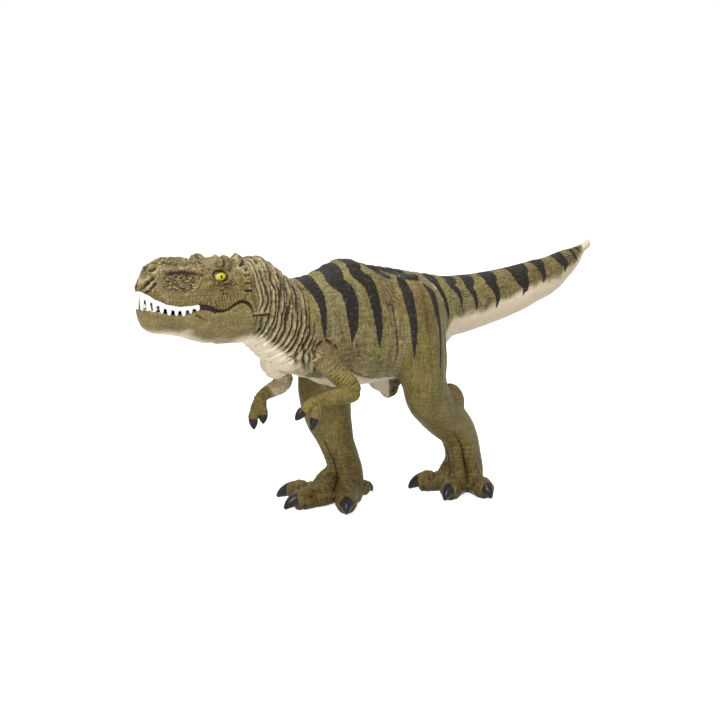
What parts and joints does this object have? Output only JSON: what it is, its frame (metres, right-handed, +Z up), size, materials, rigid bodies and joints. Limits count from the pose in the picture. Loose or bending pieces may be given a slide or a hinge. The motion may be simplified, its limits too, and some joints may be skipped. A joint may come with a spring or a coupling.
{
  "type": "toy dinosaur figure",
  "caption": "Striding two-legged dinosaur figure in soft plastic with a big head, small arms, a raised tail and a hinged lower jaw that opens.",
  "frame": {"origin": "middle of the bounding box, on the floor under the soles", "axes": "+X towards the tail tip, +Y towards the figure's right side, +Z up"},
  "size_m": [0.3138, 0.0752, 0.1414],
  "materials": {
    "skin": "soft vinyl painted olive brown with dark stripes and a cream belly",
    "jaw_skin": "soft vinyl painted light olive",
    "tooth": "satin",
    "eye": "gloss",
    "tongue": "satin",
    "pin_steel": "plain"
  },
  "bodies": {
    "figure": {"trunk": "skin", "head": "skin", "upper_teeth": "tooth", "left_eye": "eye", "right_eye": "eye", "jaw_hinge_pin": "pin_steel", "left_arm": "skin", "right_arm": "skin", "left_leg": "skin", "right_leg": "skin", "tail": "skin"},
    "jaw": {"lower_jaw": "jaw_skin", "lower_teeth": "tooth", "tongue": "tongue"}
  },
  "joints": [
    {"name": "jaw_open", "type": "hinge", "parent": "figure", "child": "jaw", "pos_m": [-0.11266, 0.00483, 0.1079], "axis": [0, -1, 0], "range_deg": [0, 26]}
  ]
}
